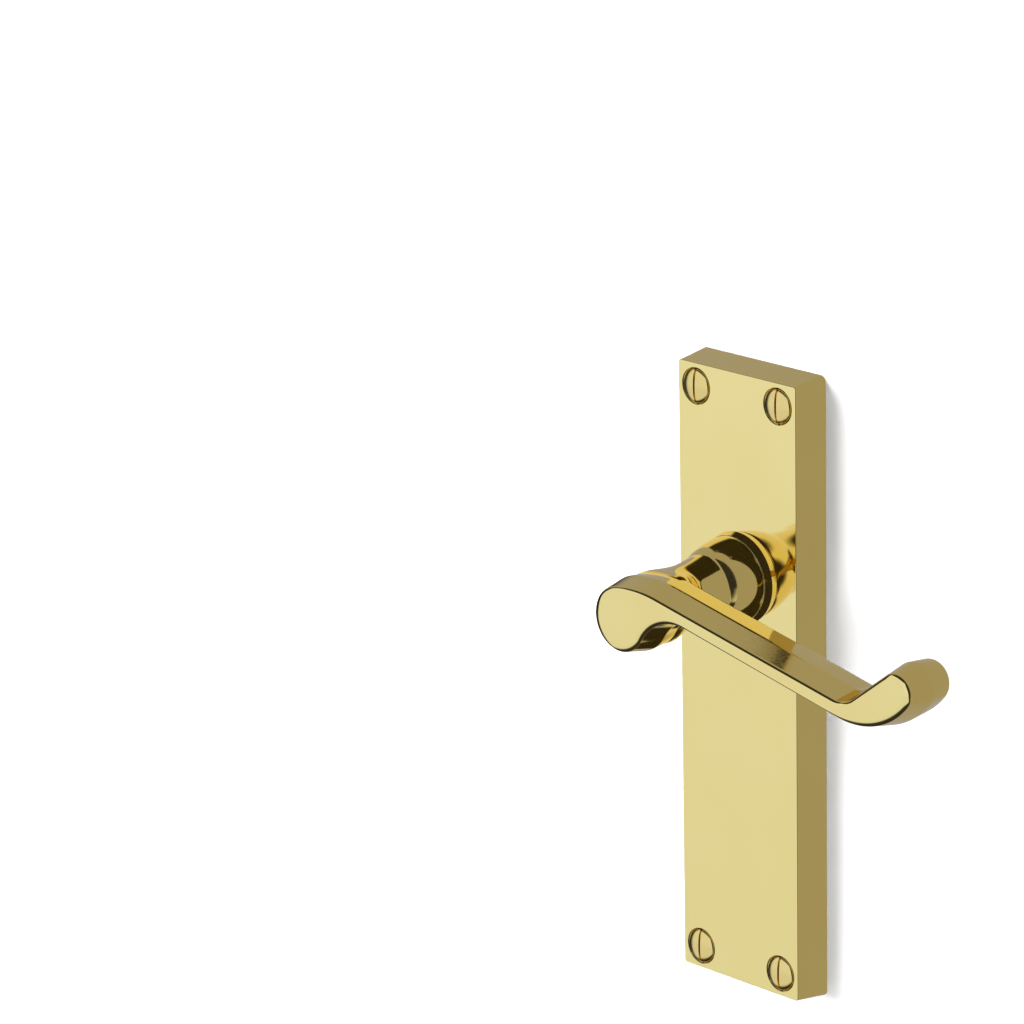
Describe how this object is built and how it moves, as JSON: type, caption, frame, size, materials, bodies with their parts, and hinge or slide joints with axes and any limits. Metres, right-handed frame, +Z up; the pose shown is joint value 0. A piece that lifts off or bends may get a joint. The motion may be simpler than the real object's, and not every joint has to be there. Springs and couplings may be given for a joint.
{
  "type": "door lever latch handle set",
  "caption": "Pair of sprung scroll-lever latch handles on tall rectangular screw-fixed backplates, joined through a door by one square spindle.",
  "frame": {"origin": "where the spindle's axis crosses the middle of the door's thickness", "axes": "+Z up, +X the way both levers point, +Y from the front handle to the rear handle along the spindle"},
  "size_m": [0.1098, 0.1384, 0.155],
  "materials": {
    "plate_brass": "mirror polished and lacquered",
    "lever_brass": "mirror polished and lacquered",
    "screw_brass": "turned, polished head",
    "acetal": "natural white, turned",
    "plated_steel": "stamped, bright zinc plated",
    "spring_steel": "drawn and oil tempered",
    "spindle_steel": "cold drawn, bright"
  },
  "bodies": {
    "front_handle": {"front_backplate": "plate_brass", "front_neck_bush": "acetal", "front_return_spring": "spring_steel", "front_screw_top_left": "screw_brass", "front_screw_top_right": "screw_brass", "front_screw_bottom_left": "screw_brass", "front_screw_bottom_right": "screw_brass"},
    "front_lever": {"front_lever": "lever_brass", "front_drive_cam": "plated_steel", "front_retaining_washer": "plated_steel", "front_circlip": "spring_steel", "spindle": "spindle_steel"},
    "rear_handle": {"rear_backplate": "plate_brass", "rear_neck_bush": "acetal", "rear_return_spring": "spring_steel", "rear_screw_top_left": "screw_brass", "rear_screw_top_right": "screw_brass", "rear_screw_bottom_left": "screw_brass", "rear_screw_bottom_right": "screw_brass"},
    "rear_lever": {"rear_lever": "lever_brass", "rear_drive_cam": "plated_steel", "rear_retaining_washer": "plated_steel", "rear_circlip": "spring_steel"}
  },
  "joints": [
    {"name": "front_lever_turn", "type": "hinge", "parent": "front_handle", "child": "front_lever", "pos_m": [0, 0, 0], "axis": [0, 1, 0], "range_deg": [0, 45], "stiffness_Nm_per_rad": 0.37, "springref_deg": -31.51, "deforming": ["front_return_spring"]},
    {"name": "door_thickness_slide", "type": "slide", "parent": "front_handle", "child": "rear_handle", "axis": [0, 1, 0], "range_m": [-0.009, 0.01]},
    {"name": "rear_lever_turn", "type": "hinge", "parent": "rear_handle", "child": "rear_lever", "pos_m": [0, 0, 0], "axis": [0, 1, 0], "range_deg": [0, 45], "stiffness_Nm_per_rad": 0.37, "springref_deg": -31.51, "deforming": ["rear_return_spring"]}
  ],
  "couplings": [
    {"joint": "rear_lever_turn", "follows": "front_lever_turn", "ratio": 1}
  ]
}
